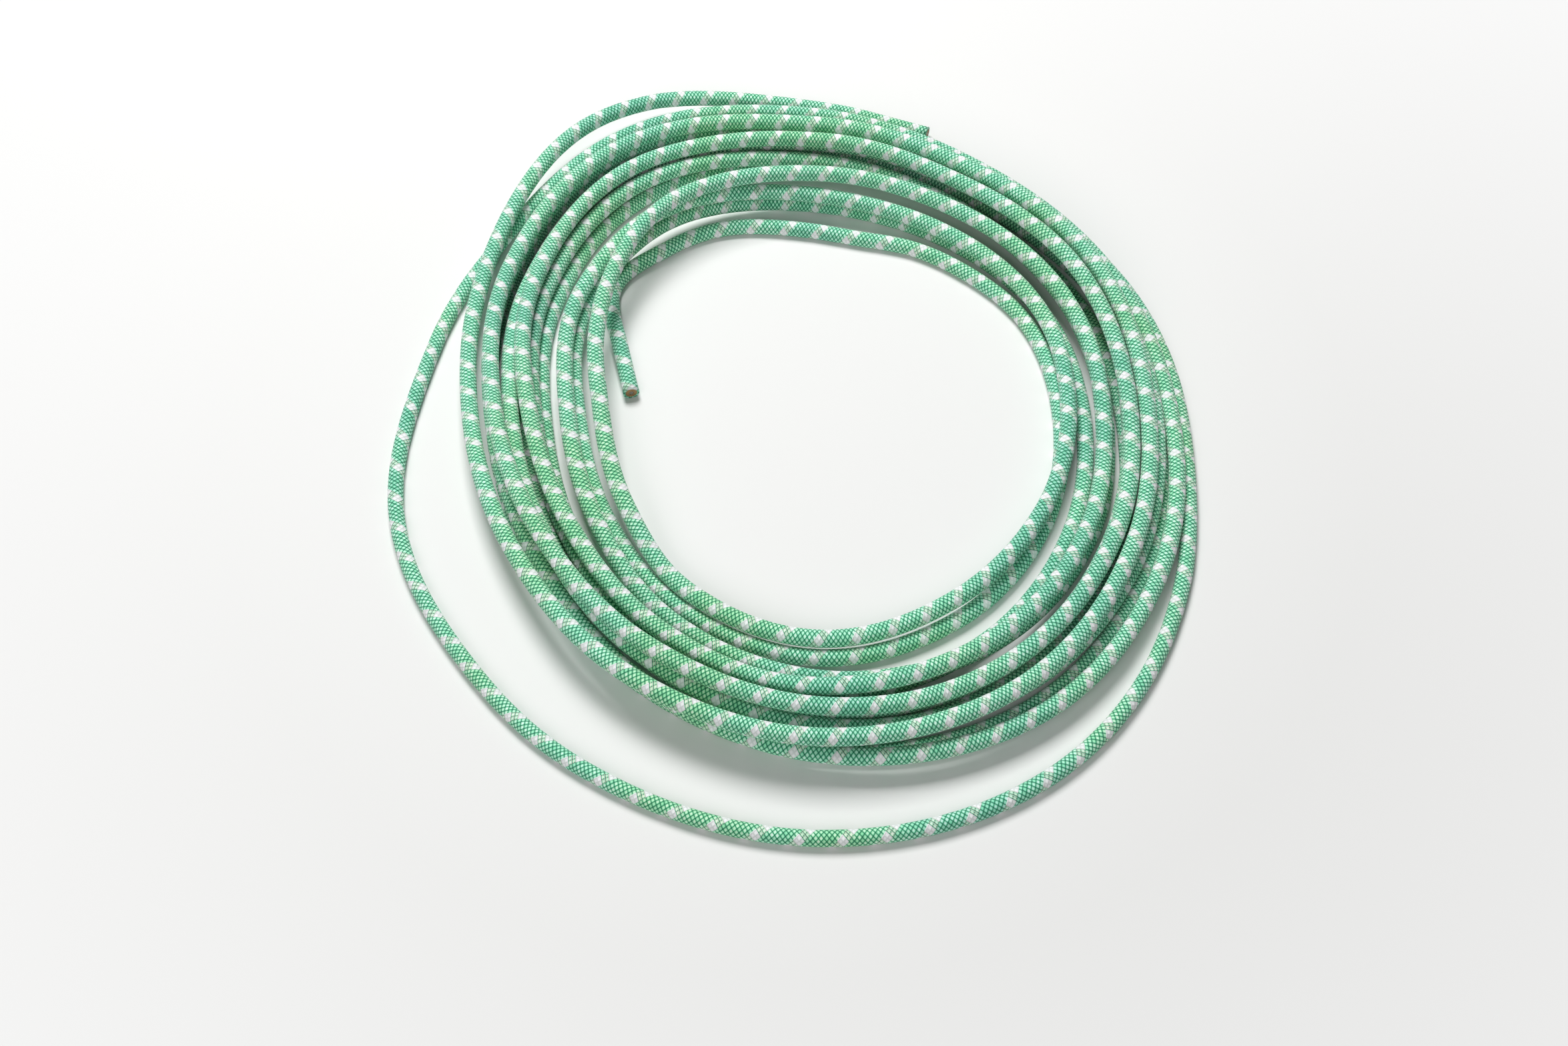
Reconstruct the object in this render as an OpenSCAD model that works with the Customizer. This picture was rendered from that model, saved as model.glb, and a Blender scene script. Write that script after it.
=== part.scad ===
// Cotton-covered single-conductor wire, hand-laid in a loose flat coil with both ends cut square.
// Millimetres, +Z up. The origin is the middle of the outline, on the surface that the coil lies on.
// The wire is laid clockwise, seen from above: inner tail, lower coil, loose loop, upper coil, outer tail.

/* [Conductor] */
// Diameter of one tinned copper strand
strand_d = 0.33; // [0.25:0.01:0.36]
// Room between neighbouring strands
strand_gap = 0.01; // [0.005:0.005:0.03]
// Strands round the middle one
outer_strands = 6; // [6:1:6]

/* [Insulation] */
// Wall of the rubber insulation
insulation_wall = 0.72; // [0.5:0.02:0.9]
// Clearance between the strands and the insulation
strand_fit = 0.02; // [0.01:0.01:0.05]

/* [Cotton braid] */
// Wall of the braided cotton jacket
braid_wall = 0.335; // [0.2:0.005:0.45]
// Clearance between the insulation and the braid
braid_fit = 0.02; // [0.01:0.01:0.05]

/* [Coil] */
// Distance from the heap's middle to the middle of its loops
heap_radius = 65; // [60:1:72]

/* [Lay] */
// Length of the straight stretch at each cut end
end_length = 12; // [8:1:14]
// Room between wire and wire where loops lie on or beside each other
lay_gap = 0.6; // [0.56:0.01:0.7]
// Most that the wire rises or falls from one ring of a loop to the next
lay_slope = 1; // [0.8:0.1:1.4]
// How far a loop wanders inwards and outwards
sway = 0.5; // [0:0.1:0.5]
// Height of a cut end above the surface
end_lift = 0.1; // [0:0.05:0.3]

/* [Hidden] */
$fn = 48;

strand_pitch = strand_d + strand_gap;
bundle_d = 2 * strand_pitch + strand_d;
insulation_bore = bundle_d + 2 * strand_fit;
insulation_d = insulation_bore + 2 * insulation_wall;
braid_bore = insulation_d + 2 * braid_fit;
wire_d = braid_bore + 2 * braid_wall;

// The underside of the faceted wire is cut flat by a tenth of its diameter
flat_cut = wire_d / 10;
rest_height = wire_d / 2 - flat_cut;
end_height = wire_d / 2 + end_lift;

// Rings of a wound loop, and the clock angle of the first
rings_per_turn = 24;
start_angle = 155;
ring_count = 318;
coil_sides = 6;
coil_step = 1 / rings_per_turn;
free_sides = 8;
free_step = 1 / 72;

// Where each stretch of the wire starts, in turns
lower_start = 6 / rings_per_turn;
loose_start = 108 / rings_per_turn;
upper_start = 122 / rings_per_turn;
outer_start = 312 / rings_per_turn;
outer_end = (ring_count - 1) / rings_per_turn;

// Where the heap's middle lies: the loose loop reaches further to the left
middle = [5, 0];
// Distance from the middle to the heap's inner and outer loops, every 30 degrees from +X
inner_edge = [for (inwards = [15, 12, 10, 8, 6, 11, 18, 18, 14, 11, 13, 15]) heap_radius - inwards];
outer_edge = [for (outwards = [11, 12, 15, 23, 29, 18, 8, 6, 11, 17, 19, 15]) heap_radius + outwards];

// Turn, and the place between the inner edge (0) and the outer edge (1): out, in and out again.
// The loops lie in two bunches, and the wire crosses from one to the other three times.
lane = [
    [0, 0], [1, 0.14], [1.4, 0.2], [1.75, 0.42], [4.5, 1],
    [5, 1], [8.6, 0.4], [9.1, 0.16], [9.4, 0.02],
    [10, 0.02], [10.4, 0.4], [12.6, 0.84], [13, 0.92], [13.12, 1.13], [13.3, 1.16]
];
// Turn, and how far that loop lies to the right and to the back of the heap
drift_right = [
    [0, 0], [4.5, 2], [5, 1], [8.5, 0], [9.2, 2],
    [10, 2], [10.4, 0], [13, -3], [13.12, -1.5], [13.3, 0]
];
drift_back = [[0, 0], [5, 0], [9.5, 1], [13, 1], [13.3, 0]];

// How far the loose loop swings outside the heap, every twelfth of a turn from its start
loose_swing = [0, 0, 5, 10, 14, 18, 20, 10, 1, 0, 0];
swing_start = 4 + (start_angle - 15) / 360;
// How far the inner tail bends off the inner edge, at each of its rings
tail_bend = [-6, 2, 0, -1, -3, -4, -2, -1, 0, 0];

// Rings ahead and behind that a rise is spread over
reach_rings = 5;
// The far end comes down off the heap more steeply
far_slope = 2.5;
// Waves of the sway in one turn
sway_rate = 2.37;

// A curve through b and c, with a before and d after them
function smooth(a, b, c, d, u) = 0.5 * (2 * b + (c - a) * u
    + (2 * a - 5 * b + 4 * c - d) * u * u + (3 * b - a - 3 * c + d) * u * u * u);

function wrapped(list, i) = list[(i + 10 * len(list)) % len(list)];

function held(list, i) = list[min(max(i, 0), len(list) - 1)];

function around(list, x) = let (i = floor(x))
    smooth(wrapped(list, i - 1), wrapped(list, i), wrapped(list, i + 1), wrapped(list, i + 2), x - i);

function along(list, x) = let (i = floor(x))
    x <= 0 || x >= len(list) - 1 ? held(list, i)
    : smooth(held(list, i - 1), held(list, i), held(list, i + 1), held(list, i + 2), x - i);

function clock(turn) = start_angle - 360 * turn;

// Distance of the wire from the heap's middle
function reach(turn) = let (
    angle = clock(turn),
    sector = ((angle % 360) + 360) % 360 / 30,
    low = around(inner_edge, sector),
    high = around(outer_edge, sector)
) low + lookup(turn, lane) * (high - low)
    + lookup(turn, drift_right) * cos(angle) + lookup(turn, drift_back) * sin(angle)
    + sway * sin(360 * sway_rate * turn)
    + along(loose_swing, (turn - swing_start) * 12)
    + along(tail_bend, turn * rings_per_turn);

reaches = [for (n = [0 : ring_count]) reach(n / rings_per_turn)];

// Least sideways distance between ring n and ring j over the stretches beside them, 0 where they cross
function apart(n, j) = let (
    offsets = [for (k = [max(-1, -j) : 1]) reaches[n + k] - reaches[j + k]]
) min(offsets) * max(offsets) <= 0 ? 0 : min([for (x = offsets) abs(x)]);

// Height at which ring n lies on the loops below it
function seat(n, heights) = n < 0 || n >= ring_count ? 0 : max(concat(
    [n == 0 || n == ring_count - 1 ? end_height : rest_height],
    [for (j = [n - rings_per_turn : -rings_per_turn : 0])
        let (side = apart(n, j))
        if (side < wire_d + lay_gap)
            heights[j] + sqrt(pow(wire_d + lay_gap, 2) - side * side)]
));

function slope_at(n) = n < outer_start * rings_per_turn ? lay_slope : far_slope;

// The wire is laid ring by ring, each no lower than its seat and its neighbours' slopes allow
function lay(n, heights) = n == ring_count ? heights
    : lay(n + 1, concat(heights, [max([
        for (k = [-reach_rings : reach_rings]) seat(n + k, heights) - slope_at(n) * abs(k)
    ])]));

heights = lay(0, []);

function height_at(turn) = let (x = min(max(turn * rings_per_turn, 0), ring_count - 1), i = floor(x))
    heights[i] + (x - i) * (held(heights, i + 1) - heights[i]);

function place(turn) = [
    middle[0] + reach(turn) * cos(clock(turn)),
    middle[1] + reach(turn) * sin(clock(turn)),
    height_at(turn)
];

function unit(v) = v / norm(v);

// Direction of the wire: level at its two ends
function heading(turn) = let (
    step = 1 / rings_per_turn / 4,
    way = place(min(turn + step, outer_end)) - place(max(turn - step, 0)),
    level = turn <= 0 || turn >= outer_end
) unit([way[0], way[1], level ? 0 : way[2]]);

// One ring of the tube: sides points round the line, none below the surface
function ring(at, way, sides) = let (
    side = unit(cross(way, [0, 0, 1])),
    up = cross(side, way)
) [for (k = [0 : sides - 1])
    let (
        a = 360 * (k + 0.5) / sides - 90,
        p = at + wire_d / 2 * (cos(a) * side + sin(a) * up)
    ) [p[0], p[1], max(p[2], 0)]
];

// Turns at which a stretch of wire has its rings, its two ends left out
function turns_between(first, last, step) = [for (t = [first + step : step : last - step / 2]) t];

// The line of a stretch of wire: it starts and ends straight for one diameter
function line_between(first, last, step) = concat(
    [place(first), place(first) + wire_d * heading(first)],
    [for (t = turns_between(first, last, step)) place(t)],
    [place(last) - wire_d * heading(last), place(last)]
);

module stretch_of_wire(first, last, step, sides) {
    ways = concat([heading(first), heading(first)],
        [for (t = turns_between(first, last, step)) heading(t)],
        [heading(last), heading(last)]);
    points = line_between(first, last, step);
    count = len(points);
    shell = [for (i = [0 : count - 1]) each ring(points[i], ways[i], sides)];
    walls = [for (i = [0 : count - 2], k = [0 : sides - 1]) each let (
        a = i * sides + k,
        b = i * sides + (k + 1) % sides
    ) [[a, b, b + sides], [a, b + sides, a + sides]]];
    caps = [for (k = [1 : sides - 2]) each [
        [0, k + 1, k],
        [(count - 1) * sides, (count - 1) * sides + k, (count - 1) * sides + k + 1]
    ]];
    polyhedron(shell, concat(walls, caps));
}

// Puts a piece that stands along +Z onto a cut end: turned outwards, its foot on the tube's face
module on_end(turn, outwards) {
    way = outwards * heading(turn);
    translate(place(turn))
        rotate([0, 90, atan2(way[1], way[0])])
            children();
}

module braid_end() {
    difference() {
        cylinder(h = end_length, d = wire_d);
        translate([0, 0, -1])
            cylinder(h = end_length + 2, d = braid_bore);
    }
}

module insulation_end() {
    difference() {
        cylinder(h = end_length, d = insulation_d);
        translate([0, 0, -1])
            cylinder(h = end_length + 2, d = insulation_bore);
    }
}

module strands() {
    cylinder(h = end_length, d = strand_d);
    for (k = [0 : outer_strands - 1])
        rotate(360 * k / outer_strands)
            translate([strand_pitch, 0, 0])
                cylinder(h = end_length, d = strand_d);
}

module inner_tail() {
    color("mediumseagreen")
        stretch_of_wire(0, lower_start, free_step, free_sides);
}

module lower_coil() {
    color("mediumseagreen")
        stretch_of_wire(lower_start, loose_start, coil_step, coil_sides);
}

module loose_loop() {
    color("mediumseagreen")
        stretch_of_wire(loose_start, upper_start, free_step, free_sides);
}

module upper_coil() {
    color("mediumseagreen")
        stretch_of_wire(upper_start, outer_start, coil_step, coil_sides);
}

module outer_tail() {
    color("mediumseagreen")
        stretch_of_wire(outer_start, outer_end, free_step, free_sides);
}

module inner_braid_end() {
    color("mediumseagreen")
        on_end(0, -1)
            braid_end();
}

module inner_insulation_end() {
    color("tan")
        on_end(0, -1)
            insulation_end();
}

module inner_strands() {
    color("silver")
        on_end(0, -1)
            strands();
}

module outer_braid_end() {
    color("mediumseagreen")
        on_end(outer_end, 1)
            braid_end();
}

module outer_insulation_end() {
    color("tan")
        on_end(outer_end, 1)
            insulation_end();
}

module outer_strands() {
    color("silver")
        on_end(outer_end, 1)
            strands();
}

// Distance from point p to the straight line between a and b
function line_distance(p, a, b) = let (u = min(max((p - a) * (b - a) / ((b - a) * (b - a)), 0), 1))
    norm(p - a - u * (b - a));

function sum(list, i = 0, total = 0) = i == len(list) ? total : sum(list, i + 1, total + list[i]);

// Least gap between the wire and any stretch of it laid before, on its modelled points
module measure() {
    near_points = 8; // these count as the same bend
    line = concat(
        line_between(0, lower_start, free_step),
        line_between(lower_start, loose_start, coil_step),
        line_between(loose_start, upper_start, free_step),
        line_between(upper_start, outer_start, coil_step),
        line_between(outer_start, outer_end, free_step)
    );
    steps = [for (i = [1 : len(line) - 1]) norm(line[i] - line[i - 1])];
    least_gap = min([
        for (i = [near_points : len(line) - 2], part = [0, 0.5])
            let (p = line[i] + part * (line[i + 1] - line[i]))
            for (j = [0 : i - near_points])
                if (norm(line[j] - line[j + 1]) > 0 && norm(p - line[j]) < 10 * wire_d)
                    line_distance(p, line[j], line[j + 1])
    ]) - wire_d;
    echo(wire_diameter = wire_d, wire_length = sum(steps) + 2 * end_length);
    echo(least_gap = least_gap, heap_height = max(heights) + wire_d / 2);
}

measure();
inner_tail();
lower_coil();
loose_loop();
upper_coil();
outer_tail();
inner_braid_end();
inner_insulation_end();
inner_strands();
outer_braid_end();
outer_insulation_end();
outer_strands();
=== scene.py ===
import math
import random
import bpy
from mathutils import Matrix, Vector


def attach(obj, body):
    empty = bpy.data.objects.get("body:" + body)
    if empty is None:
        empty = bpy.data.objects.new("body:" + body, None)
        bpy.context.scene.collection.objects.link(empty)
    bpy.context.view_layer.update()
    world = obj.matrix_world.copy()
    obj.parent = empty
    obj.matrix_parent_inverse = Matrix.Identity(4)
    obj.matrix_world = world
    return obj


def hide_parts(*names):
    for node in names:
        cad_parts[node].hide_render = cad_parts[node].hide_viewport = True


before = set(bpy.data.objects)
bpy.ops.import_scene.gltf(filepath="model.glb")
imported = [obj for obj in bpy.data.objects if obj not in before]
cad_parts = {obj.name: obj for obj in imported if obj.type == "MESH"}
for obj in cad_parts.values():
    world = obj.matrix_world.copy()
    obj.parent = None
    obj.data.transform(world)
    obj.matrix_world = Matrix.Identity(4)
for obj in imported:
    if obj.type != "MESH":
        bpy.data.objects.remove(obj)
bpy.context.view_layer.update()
print("frame loaded:", len(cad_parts), "nodes")

mm = 0.001

# all in mm
camera = {
    "place": (-2, -233.4, 322.5),
    "aim": (-2, -24, 0),
    "focalLength": 42.9,
    "sensorWidth": 36,
    "nearest": 10,    # nothing closer than this is drawn
}


def addObject(name, data):
    made = bpy.data.objects.new(name, data)
    bpy.context.collection.objects.link(made)
    return made


def lookFrom(body, place, aim):
    body.location = place
    body.rotation_euler = (aim - place).to_track_quat("-Z", "Y").to_euler()


def makeCamera():
    data = bpy.data.cameras.new("camera")
    data.lens = camera["focalLength"]
    data.sensor_width = camera["sensorWidth"]
    data.clip_start = camera["nearest"] * mm
    body = addObject("camera", data)
    lookFrom(body, Vector(camera["place"]) * mm, Vector(camera["aim"]) * mm)
    bpy.context.scene.camera = body


makeCamera()
print("camera placed")


# the wire's route, laid by the part's own rules, in mm and turns from the inner cut end
wire = {
    "diameter": 3.2,
    "restHeight": 0.4,      # of the diameter, for the middle of a ring on the surface
    "endLength": 12,        # straight at each cut end
    "endSteps": 8,
    "endLift": 0.1,
    "layGap": 0.6,
    "laySlope": 1,          # most rise from one ring to the next
    "farSlope": 2.5,
    "farStart": 312,        # ring where the far end comes off the heap
    "ringsPerTurn": 24,
    "ringCount": 318,
    "reachRings": 5,        # rings either way that climb to the same seat
    "startAngle": 155,
    "middle": (5, 0),
    # the heap's edges, all the way round
    "innerEdge": (50, 53, 55, 57, 59, 54, 47, 47, 51, 54, 52, 50),
    "outerEdge": (76, 77, 80, 88, 94, 83, 73, 71, 76, 82, 84, 80),
    # place between the two edges, by turn
    "lane": ((0, 0), (1, 0.14), (1.4, 0.2), (1.75, 0.42), (4.5, 1), (5, 1), (8.6, 0.4),
             (9.1, 0.16), (9.4, 0.02), (10, 0.02), (10.4, 0.4), (12.6, 0.84), (13, 0.92),
             (13.12, 1.13), (13.3, 1.16)),
    "driftRight": ((0, 0), (4.5, 2), (5, 1), (8.5, 0), (9.2, 2), (10, 2), (10.4, 0), (13, -3),
                   (13.12, -1.5), (13.3, 0)),
    "driftBack": ((0, 0), (5, 0), (9.5, 1), (13, 1), (13.3, 0)),
    "sway": 0.5,
    "swayRate": 2.37,       # to the turn
    "looseTurn": 4,         # the loose loop starts in this turn, at this angle
    "looseAngle": 15,
    "looseSwing": (0, 0, 5, 10, 14, 18, 20, 10, 1, 0, 0),    # by twelfths of a turn
    "swingsPerTurn": 12,
    "tailBend": (-6, 2, 0, -1, -3, -4, -2, -1, 0, 0),        # by ring
    "stepsPerTurn": 192,
    "sides": 20,
}


def smooth(a, b, c, d, u):
    return 0.5 * (2 * b + (c - a) * u + (2 * a - 5 * b + 4 * c - d) * u * u
                  + (3 * b - a - 3 * c + d) * u * u * u)


def aroundList(values, x):
    i = math.floor(x)
    return smooth(*(values[(i + k) % len(values)] for k in (-1, 0, 1, 2)), x - i)


def alongList(values, x):
    i = math.floor(x)
    near = [values[min(max(i + k, 0), len(values) - 1)] for k in (-1, 0, 1, 2)]
    if x <= 0 or x >= len(values) - 1:
        return near[1]
    return smooth(*near, x - i)


def between(knots, x):
    for (x0, y0), (x1, y1) in zip(knots, knots[1:]):
        if x <= x1:
            return y0 + (y1 - y0) * (max(x, x0) - x0) / (x1 - x0)
    return knots[-1][1]


def clockAngle(turn):
    return math.radians(wire["startAngle"] - 360 * turn)


def reach(turn):
    angle = clockAngle(turn)
    sector = math.degrees(angle) % 360 * len(wire["innerEdge"]) / 360
    low = aroundList(wire["innerEdge"], sector)
    high = aroundList(wire["outerEdge"], sector)
    sway = wire["sway"] * math.sin(math.tau * wire["swayRate"] * turn)
    swingStart = wire["looseTurn"] + (wire["startAngle"] - wire["looseAngle"]) / 360
    return (low + between(wire["lane"], turn) * (high - low) + sway
            + between(wire["driftRight"], turn) * math.cos(angle)
            + between(wire["driftBack"], turn) * math.sin(angle)
            + alongList(wire["looseSwing"], (turn - swingStart) * wire["swingsPerTurn"])
            + alongList(wire["tailBend"], turn * wire["ringsPerTurn"]))


# a ring lies on the surface, or seats on the turns laid before it
def layHeights():
    perTurn, count = wire["ringsPerTurn"], wire["ringCount"]
    clear = wire["diameter"] + wire["layGap"]
    rest = wire["diameter"] * wire["restHeight"]
    endHeight = wire["diameter"] / 2 + wire["endLift"]
    reaches = [reach(n / perTurn) for n in range(count + 1)]
    heights = []

    def apart(n, j):
        offsets = [reaches[n + k] - reaches[j + k] for k in range(max(-1, -j), 2)]
        return 0 if min(offsets) * max(offsets) <= 0 else min(abs(x) for x in offsets)

    def seat(n):
        if n < 0 or n >= count:
            return 0
        best = endHeight if n in (0, count - 1) else rest
        for j in range(n - perTurn, -1, -perTurn):
            side = apart(n, j)
            if side < clear:
                best = max(best, heights[j] + math.sqrt(clear * clear - side * side))
        return best

    for n in range(count):
        slope = wire["laySlope"] if n < wire["farStart"] else wire["farSlope"]
        reachRange = range(-wire["reachRings"], wire["reachRings"] + 1)
        heights.append(max(seat(n + k) - slope * abs(k) for k in reachRange))
    return heights


def straightEnd(first, second):
    way = first - second
    way.z = 0
    way.normalize()
    steps = wire["endSteps"]
    return [first + way * wire["endLength"] * k / steps for k in range(1, steps + 1)]


def layLine():
    heights = layHeights()
    rest = wire["diameter"] * wire["restHeight"]
    lastTurn = (wire["ringCount"] - 1) / wire["ringsPerTurn"]
    steps = round(lastTurn * wire["stepsPerTurn"])
    middle = Vector((*wire["middle"], 0))
    line = []
    for i in range(steps + 1):
        turn = i * lastTurn / steps
        r, angle = reach(turn), clockAngle(turn)
        height = max(alongList(heights, turn * wire["ringsPerTurn"]), rest)
        line.append(middle + Vector((r * math.cos(angle), r * math.sin(angle), height)))
    line = straightEnd(line[0], line[2])[::-1] + line + straightEnd(line[-1], line[-3])
    return [p * mm for p in line]


wireLine = layLine()
distances = [0]
for a, b in zip(wireLine, wireLine[1:]):
    distances.append(distances[-1] + (b - a).length)
wireLength = distances[-1]
print("wire laid: %.3f m" % wireLength)


# the braided jacket, in mm
jacket = {
    "seed": 4,
    "boreDiameter": 2.53,
    "rimDepth": 1.5,           # how far the bore is shown at a cut end
    "lowest": 0.02,            # above the surface
    # of the radius, by turn: the loose loop is drawn thin
    "fullness": ((0, 1.09), (4.42, 1.12), (4.55, 1.01), (5.05, 1.01), (5.2, 1.12),
                 (13, 1.12), (13.3, 1.07)),
    "swell": 0.02,             # of the radius
    "swellWander": (0.85, 3),  # how much is kept from step to step, and the widest draw
    "lead": 7.3,               # of the tracer's helix
    "stretch": 0.09,           # of the lead
    "stretchWander": (0.96, 7),
    "twist": 0.075,            # of a turn, that the braid rolls over towards the back
    "rimTurn": 0.04,           # of a lead, that the pattern moves over the rim
    "rimRun": 0.3,             # and the same along the bake map
    "rows": 24,                # rows of the wire in its own bake map
    "rowShare": 0.9,           # of a row's height that the wire takes
    "rowStart": 0.05,
    "rowSlack": 1.002,
    "rowMargins": (0.005, 0.985),    # where a row starts, and its length
}


def wander(value, keep, widest, chance):
    return keep * value + (1 - keep) * chance.uniform(-widest, widest)


def held(value):
    return max(-1, min(value, 1))


# the jacket's radius, and the tracer's turns so far, at each point of the line
def jacketRings():
    chance = random.Random(jacket["seed"])
    rings = []
    swell = stretch = turns = 0
    for i, distance in enumerate(distances):
        swell = wander(swell, *jacket["swellWander"], chance)
        stretch = wander(stretch, *jacket["stretchWander"], chance)
        fullness = between(jacket["fullness"], (i - wire["endSteps"]) / wire["stepsPerTurn"])
        radius = wire["diameter"] / 2 * mm * (fullness + jacket["swell"] * held(swell))
        if i:
            step = (distance - distances[i - 1]) / (jacket["lead"] * mm)
            turns += step * (1 + jacket["stretch"] * held(stretch))
        rings.append((radius, turns))
    return rings


def turnedFrames(line):
    frames = []
    for i, p in enumerate(line):
        way = (line[min(i + 1, len(line) - 1)] - line[max(i - 1, 0)]).normalized()
        side = way.cross(Vector((0, 0, 1))).normalized()
        frames.append((p, side, side.cross(way)))
    return frames


def circle(p, side, up, radius):
    angles = [math.tau * k / wire["sides"] for k in range(wire["sides"])]
    return [p + radius * (math.cos(a) * side + math.sin(a) * up) for a in angles]


# a corner is its point, its step round the wire, its ring and 1 at a rim's inner edge
def wallQuads(count):
    sides = wire["sides"]
    quads = []
    for i in range(count - 1):
        for k in range(sides):
            a, b = i * sides + k, i * sides + (k + 1) % sides
            quads.append([(a, k, i, 0), (b, k + 1, i, 0),
                          (b + sides, k + 1, i + 1, 0), (a + sides, k, i + 1, 0)])
    return quads


# the cut edge and the bore behind it, whose points start at first
def cutQuads(ring, first):
    sides = wire["sides"]
    outer = ring * sides
    quads = []
    for k in range(sides):
        n = (k + 1) % sides
        rim = [(outer + k, k, ring, 0), (first + k, k, ring, 1),
               (first + n, k + 1, ring, 1), (outer + n, k + 1, ring, 0)]
        bore = [(first + k, k, ring, 0), (first + sides + k, k, ring, 1),
                (first + sides + n, k + 1, ring, 1), (first + n, k + 1, ring, 0)]
        quads += [rim, bore] if ring == 0 else [rim[::-1], bore[::-1]]
    return quads


# one map in steps round and turns of the tracer, and one in rows for baking
def mapJacket(mesh, quads, rings):
    pattern = mesh.uv_layers.new(name="wire")
    bake = mesh.uv_layers.new(name="OFBake")
    middle = Vector((*wire["middle"], 0)) * mm
    rowLength = wireLength / jacket["rows"] * jacket["rowSlack"]
    rowHeight = 1 / jacket["rows"]
    margin, share = jacket["rowMargins"]
    loop = 0
    for quad in quads:
        row = int(distances[min(corner[2] for corner in quad)] / rowLength)
        for point, k, i, inner in quad:
            inward = inner * (1 if i == 0 else -1)
            u = k / wire["sides"]
            v = distances[i] + jacket["rimRun"] * mm * inward
            turns = rings[i][1] + jacket["rimTurn"] * inward
            fromMiddle = wireLine[i] - middle
            roll = jacket["twist"] * (1 + fromMiddle.y / fromMiddle.length)
            pattern.data[loop].uv = (u - roll, turns)
            bake.data[loop].uv = ((v - row * rowLength) / rowLength * share + margin,
                                  (row + jacket["rowStart"] + u * jacket["rowShare"]) * rowHeight)
            loop += 1


def makeJacket():
    frames, rings = turnedFrames(wireLine), jacketRings()
    count = len(frames)
    points = []
    for ringFrame, (radius, turns) in zip(frames, rings):
        points += [(v.x, v.y, max(v.z, jacket["lowest"] * mm)) for v in circle(*ringFrame, radius)]
    quads = wallQuads(count)
    for ring, inside in ((0, 1), (count - 1, count - 2)):
        p, side, up = frames[ring]
        way = (wireLine[inside] - p).normalized()
        quads += cutQuads(ring, len(points))
        for depth in (0, jacket["rimDepth"]):
            points += circle(p + way * depth * mm, side, up, jacket["boreDiameter"] / 2 * mm)
    mesh = bpy.data.meshes.new("braidedJacket")
    mesh.from_pydata(points, [], [[corner[0] for corner in quad] for quad in quads])
    mapJacket(mesh, quads, rings)
    mesh.validate()
    mesh.shade_smooth()
    return addObject("braided_jacket", mesh)


jacketPiece = makeJacket()
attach(jacketPiece, "root")
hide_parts("inner_tail", "lower_coil", "loose_loop", "upper_coil", "outer_tail",
            "inner_braid_end", "outer_braid_end")
print("jacket made:", len(jacketPiece.data.polygons), "faces")


# shader maths: an expression on values adds its nodes
class Value:
    def __init__(self, shader, socket):
        self.shader, self.socket = shader, socket

    def maths(self, operation, *others, first=None):
        inputs = (self,) + others if first is None else (first, self)
        return self.shader.node("ShaderNodeMath", {"operation": operation},
                                dict(enumerate(inputs)))["Value"]

    def __add__(self, other):
        return self.maths("ADD", other)

    def __sub__(self, other):
        return self.maths("SUBTRACT", other)

    def __rsub__(self, other):
        return self.maths("SUBTRACT", first=other)

    def __mul__(self, other):
        return self.maths("MULTIPLY", other)

    def __truediv__(self, other):
        return self.maths("DIVIDE", other)

    def __mod__(self, other):
        return self.maths("FLOORED_MODULO", other)

    def __pow__(self, other):
        return self.maths("POWER", other)

    def __lt__(self, other):
        return self.maths("LESS_THAN", other)

    __radd__, __rmul__ = __add__, __mul__

    def sine(self):
        return self.maths("SINE")

    def floor(self):
        return self.maths("FLOOR")

    def fraction(self):
        return self.maths("FRACT")

    def clamped(self, low=0, high=1):
        return self.maths("MAXIMUM", low).maths("MINIMUM", high)


class Outputs:
    def __init__(self, shader, made):
        self.shader, self.made = shader, made

    def __getitem__(self, name):
        return Value(self.shader, self.made.outputs[name])


# the nodes of a material or a world
class Shader:
    def __init__(self, owner):
        owner.use_nodes = True
        self.owner, self.tree = owner, owner.node_tree
        self.tree.nodes.clear()

    def node(self, kind, settings=None, values=None):
        made = self.tree.nodes.new(kind)
        for name, setting in (settings or {}).items():
            if name == "stops":
                self.setStops(made.color_ramp, setting)
            else:
                setattr(made, name, setting)
        for name, value in (values or {}).items():
            socket = made.inputs[name]
            if isinstance(value, Value):
                self.tree.links.new(value.socket, socket)
            else:
                socket.default_value = value
        return Outputs(self, made)

    def setStops(self, ramp, stops):
        while len(ramp.elements) < len(stops):
            ramp.elements.new(0.5)
        for element, (place, colour) in zip(ramp.elements, stops):
            element.position, element.color = place, colour

    def blend(self, factor, a, b, how="MIX"):
        settings = {"data_type": "RGBA", "blend_type": how, "clamp_factor": True}
        return self.node("ShaderNodeMix", settings, {0: factor, 6: a, 7: b})[2]

    def ramp(self, factor, *stops):
        return self.node("ShaderNodeValToRGB", {"stops": stops}, {"Fac": factor})["Color"]

    def noise(self, scale, detail):
        place = self.node("ShaderNodeTexCoord")["Object"]
        return self.node("ShaderNodeTexNoise", {"noise_dimensions": "3D"},
                         {"Vector": place, "Scale": scale, "Detail": detail})["Fac"]

    def principled(self, values):
        return self.node("ShaderNodeBsdfPrincipled", None, values)["BSDF"]

    def either(self, factor, a, b):
        return self.node("ShaderNodeMixShader", None, {0: factor, 1: a, 2: b})["Shader"]

    def finish(self, surface):
        self.node("ShaderNodeOutputMaterial", None, {"Surface": surface})
        return self.owner

    def finishBumped(self, values, height, distance, strength):
        bump = self.node("ShaderNodeBump", None,
                         {"Height": height, "Distance": distance * mm, "Strength": strength})
        return self.finish(self.principled({**values, "Normal": bump["Normal"]}))


def paint(red, green, blue):
    return tuple((c / 255 / 12.92 if c <= 10.3 else ((c / 255 + 0.055) / 1.055) ** 2.4)
                 for c in (red, green, blue)) + (1,)


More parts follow.
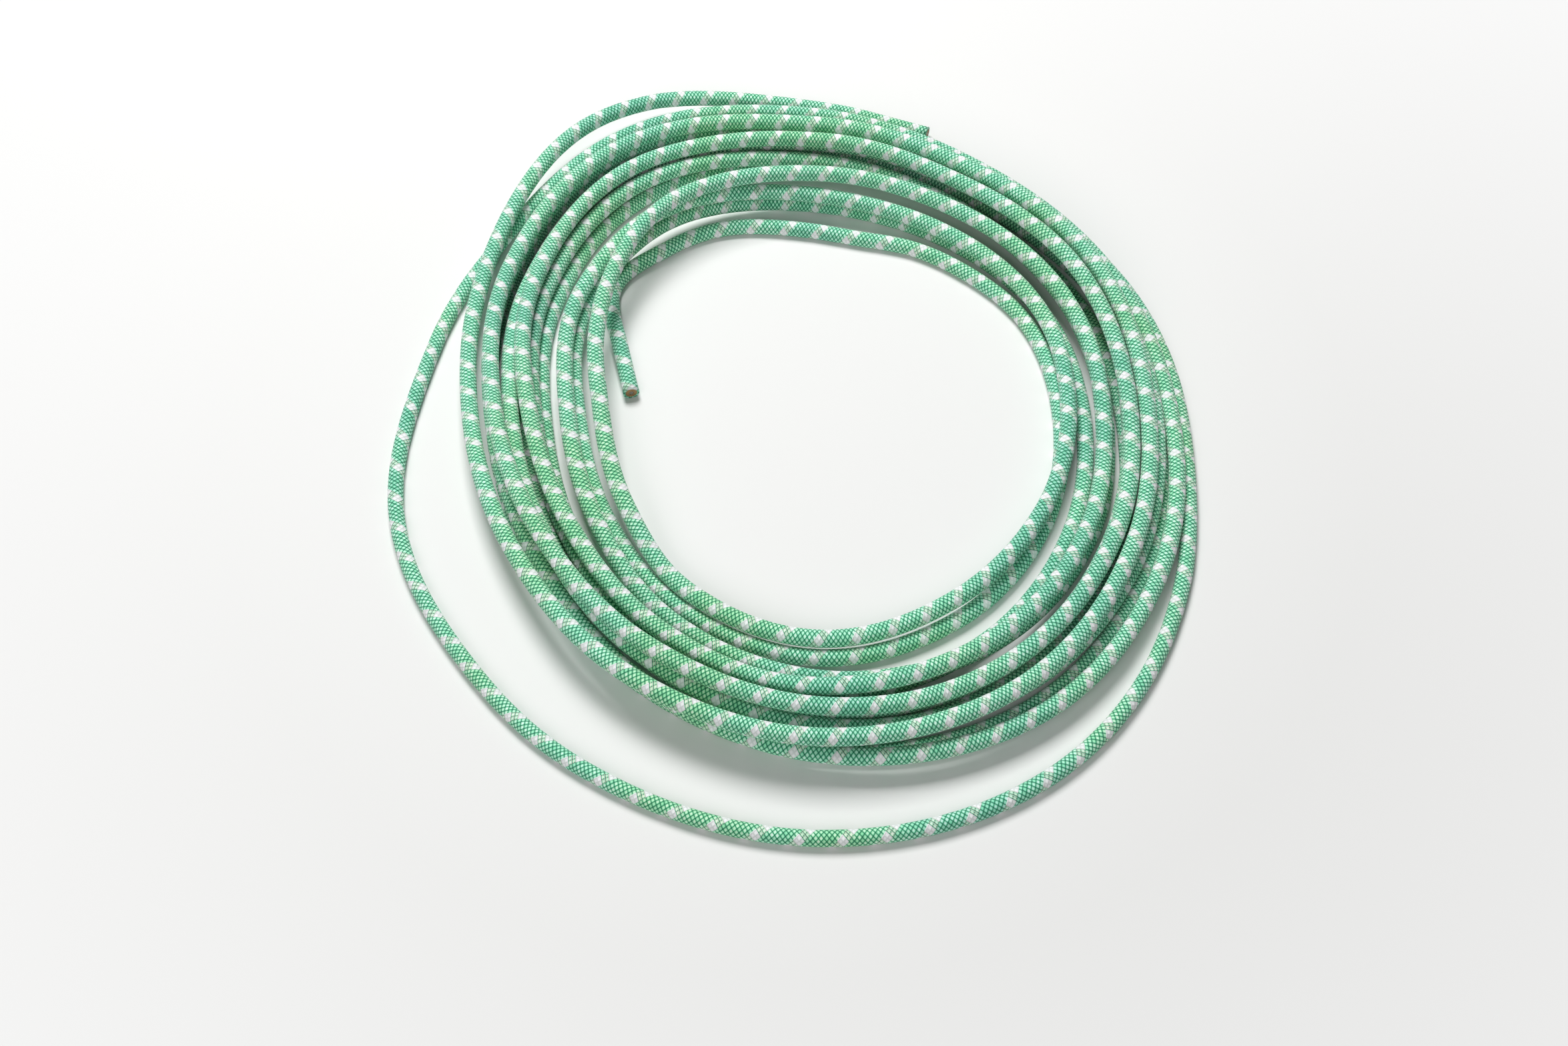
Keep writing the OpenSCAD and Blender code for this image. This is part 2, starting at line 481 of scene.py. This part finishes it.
# braided cotton: yarns both ways round, and two white ones side by side
cotton = {
    "carriers": 8,            # each way round
    "yarnRound": (0.9, 0.8),  # powers that round a yarn's hump, across it and along it
    "endRelief": 0.15,        # of the height, between the two ends of a yarn
    # painted light on the yarns: painted shade in the crevices between them, the yarns' own green,
    # and a painted highlight on their crests
    "crevice": paint(27, 110, 85),
    "yarn": paint(132, 230, 182),
    "crest": paint(228, 254, 242),
    "stops": (0.05, 0.45, 0.95),
    "tracer": paint(250, 251, 252),
    "tracerCream": paint(244, 249, 232),
    "tracerCarriers": 2.3,    # of the left-hand ones: two, and the fluff beside them
    "tracerShift": 0.2,
    "strokes": (2, 0.6),      # how sharp the strokes between the solid patches are, and how wide
    # most painted shade in the crevices of the white yarns, on the strokes and on the solid
    # patches
    "strokeShade": 0.65,
    "solidShade": 0.25,
    "blueTint": paint(168, 214, 222),
    "yellowTint": paint(222, 228, 168),
    "mostTint": (0.5, 0.4),
    "tintContrast": 3,
    "drift": (28, 2),         # scale and detail of each unevenness
    "mottle": (800, 3),
    "fibre": (5200, 3),
    # what sets the painted light on a yarn's hump
    "light": {"even": 0.4, "yarn": 0.4, "mottle": 0.7, "fibre": 0.3},    # shares of each
    "roughness": 0.9,
    "crestPolish": 0.08,
    "specular": 0.25,
    "sheen": 0.2,
    "sheenRoughness": 0.6,
    "bump": 0.11,             # mm
    "bumpStrength": 0.9,
    "fibreBump": 0.35,
}


def braidedCotton():
    s = Shader(bpy.data.materials.new("braidedCotton"))
    carriers = cotton["carriers"]
    split = s.node("ShaderNodeSeparateXYZ", None,
                   {"Vector": s.node("ShaderNodeUVMap", {"uv_map": "wire"})["UV"]})
    around, along = split["X"], split["Y"]

    # a cell is the crossing of a right-hand and a left-hand yarn, and they lie on top by turns
    rightWay, leftWay = (around + along) * carriers, (around - along) * carriers
    rightCell, leftCell = rightWay.floor(), leftWay.floor()
    rightPart, leftPart = rightWay.fraction(), leftWay.fraction()
    cellSum = rightCell + leftCell
    leftOnTop = (cellSum % 2) < 0.5
    rightOnTop = 1 - leftOnTop
    across = (leftPart * leftOnTop + rightPart * rightOnTop) * math.pi
    run = (rightPart * leftOnTop + leftPart * rightOnTop) * math.pi
    acrossRound, runRound = cotton["yarnRound"]
    height = across.sine().clamped() ** acrossRound * run.sine().clamped() ** runRound
    ends = (across * 2).sine() ** 2    # two ends lie side by side in a yarn
    height = height * (ends * cotton["endRelief"] + (1 - cotton["endRelief"]))

    cell = s.node("ShaderNodeCombineXYZ", None,
                  {"X": rightCell - leftCell, "Y": cellSum % (2 * carriers)})["Vector"]
    chance = s.node("ShaderNodeTexWhiteNoise", {"noise_dimensions": "2D"},
                    {"Vector": cell})["Value"]
    drift, mottle, fibre = (s.noise(*cotton[name]) for name in ("drift", "mottle", "fibre"))
    light = cotton["light"]
    # painted light on each yarn's hump: a painted highlight on its crest, brighter or dimmer at
    # random from cell to cell, and painted shade down into the crevices
    crest = chance * light["yarn"] + mottle * light["mottle"] + light["even"]
    lit = (height * crest + (fibre - 0.5) * light["fibre"]).clamped()
    colours = (cotton["crevice"], cotton["yarn"], cotton["crest"])
    green = s.ramp(lit, *zip(cotton["stops"], colours))
    mostBlue, mostYellow = cotton["mostTint"]
    blue = ((drift - 0.5) * cotton["tintContrast"]).clamped(0, mostBlue)
    yellow = ((0.5 - drift) * cotton["tintContrast"]).clamped(0, mostYellow)
    green = s.blend(blue, green, cotton["blueTint"], "MULTIPLY")
    green = s.blend(yellow, green, cotton["yellowTint"], "MULTIPLY")

    # white goes over two green yarns and under two, where green ends cross it in fine strokes
    onTracer = ((leftWay + cotton["tracerShift"]) % carriers) < cotton["tracerCarriers"]
    solid = (rightCell % 4) < 2
    sharp, wide = cotton["strokes"]
    strokes = ((rightWay * (2 * math.tau)).sine() * sharp + wide).clamped()
    white = onTracer * (strokes + solid).clamped()
    whiteColour = s.blend(solid, cotton["tracerCream"], cotton["tracer"])
    # painted shade in the crevices of the white yarns, darkened towards the painted crevice shade,
    # less on the solid patches
    mostShade = cotton["strokeShade"] - solid * (cotton["strokeShade"] - cotton["solidShade"])
    shade = ((1 - lit) * mostShade).clamped()
    colour = s.blend(white, green, s.blend(shade, whiteColour, cotton["crevice"]))
    return s.finishBumped({
        "Base Color": colour, "Roughness": cotton["roughness"] - height * cotton["crestPolish"],
        "Specular IOR Level": cotton["specular"], "Sheen Weight": cotton["sheen"],
        "Sheen Roughness": cotton["sheenRoughness"],
    }, height + (fibre - 0.5) * cotton["fibreBump"], cotton["bump"], cotton["bumpStrength"])


# rubber at the cut ends
rubber = {
    "fresh": paint(176, 138, 92),
    "aged": paint(96, 70, 44),
    "patches": (700, 2),      # scale and detail
    "patchContrast": (1.6, 0.4),
    "grain": (3000, 4),
    "roughness": 0.75,
    "grainRoughness": 0.2,
    "specular": 0.35,
    "bump": 0.04,             # mm
    "bumpStrength": 0.6,
}


def tanRubber():
    s = Shader(bpy.data.materials.new("tanRubber"))
    grain, patches = s.noise(*rubber["grain"]), s.noise(*rubber["patches"])
    contrast, less = rubber["patchContrast"]
    colour = s.blend((patches * contrast - less).clamped(), rubber["fresh"], rubber["aged"])
    return s.finishBumped({
        "Base Color": colour,
        "Roughness": rubber["roughness"] + (grain - 0.5) * rubber["grainRoughness"],
        "Specular IOR Level": rubber["specular"],
    }, grain, rubber["bump"], rubber["bumpStrength"])


# tinned copper strands in it
copper = {
    "tin": paint(176, 170, 160),
    "dull": paint(104, 92, 78),
    "grain": (6000, 3),       # scale and detail
    "dullContrast": (1.5, 0.4),
    "roughness": 0.42,
    "grainRoughness": 0.3,
    "bump": 0.02,             # mm
    "bumpStrength": 0.5,
}


def tinnedCopper():
    s = Shader(bpy.data.materials.new("tinnedCopper"))
    grain = s.noise(*copper["grain"])
    contrast, less = copper["dullContrast"]
    colour = s.blend((grain * contrast - less).clamped(), copper["tin"], copper["dull"])
    return s.finishBumped({
        "Base Color": colour, "Metallic": 1.0,
        "Roughness": copper["roughness"] + (grain - 0.5) * copper["grainRoughness"],
    }, grain, copper["bump"], copper["bumpStrength"])


def setMaterial(piece, material):
    if not piece.data.materials:
        piece.data.materials.append(material)
    for slot in piece.material_slots:
        slot.material = material


setMaterial(jacketPiece, braidedCotton())
rubberMaterial, copperMaterial = tanRubber(), tinnedCopper()
for end in ("inner", "outer"):
    setMaterial(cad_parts[end + "_insulation_end"], rubberMaterial)
    setMaterial(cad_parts[end + "_strands"], copperMaterial)
print("materials set")


# floor and light, in m and W
studio = {
    "floorSize": 3.0,
    "floor": (0.82, 0.82, 0.81, 1),
    "floorRoughness": 0.9,
    "floorSpecular": 0.1,
    "fade": (0.12, 0.3),    # from the middle, where the floor turns into the background
    "background": (1, 1, 1, 1),
    "ambient": 0.12,
    "key": {"place": (-0.1, 0.42, 0.7), "size": 0.35, "power": 6.9},
    "fill": {"place": (-0.25, -0.6, 0.55), "size": 0.5, "power": 2.4},
}


def paleFloor():
    s = Shader(bpy.data.materials.new("paleFloor"))
    surface = s.principled({"Base Color": studio["floor"], "Roughness": studio["floorRoughness"],
                            "Specular IOR Level": studio["floorSpecular"]})
    white = s.node("ShaderNodeEmission", None, {"Color": studio["background"]})["Emission"]
    distance = s.node("ShaderNodeVectorMath", {"operation": "LENGTH"},
                      {0: s.node("ShaderNodeTexCoord")["Object"]})["Value"]
    near, far = studio["fade"]
    seen = s.node("ShaderNodeLightPath")["Is Camera Ray"]
    return s.finish(s.either(((distance - near) / (far - near)).clamped() * seen, surface, white))


def makeFloor():
    half = studio["floorSize"] / 2
    mesh = bpy.data.meshes.new("floor")
    corners = [(-half, -half, 0), (half, -half, 0), (half, half, 0), (-half, half, 0)]
    mesh.from_pydata(corners, [], [(0, 1, 2, 3)])
    floor = addObject("floor", mesh)
    setMaterial(floor, paleFloor())


def makeLamp(name):
    settings = studio[name]
    data = bpy.data.lights.new(name, "AREA")
    data.size, data.energy = settings["size"], settings["power"]
    lookFrom(addObject(name, data), Vector(settings["place"]), Vector((0, 0, 0)))


# a low light from all round, and white wherever the background itself is seen
def makeWorld():
    world = bpy.data.worlds.new("studio")
    s = Shader(world)
    rays = s.node("ShaderNodeLightPath")
    seen = (rays["Is Camera Ray"] + rays["Is Glossy Ray"] + rays["Is Transmission Ray"]).clamped()
    ambient = s.node("ShaderNodeBackground", None, {"Strength": studio["ambient"]})["Background"]
    white = s.node("ShaderNodeBackground", None, {"Color": studio["background"]})["Background"]
    s.node("ShaderNodeOutputWorld", None, {"Surface": s.either(seen, ambient, white)})
    bpy.context.scene.world = world


makeFloor()
makeLamp("key")
makeLamp("fill")
makeWorld()
bpy.context.scene.view_settings.view_transform = "Standard"
print("studio set")
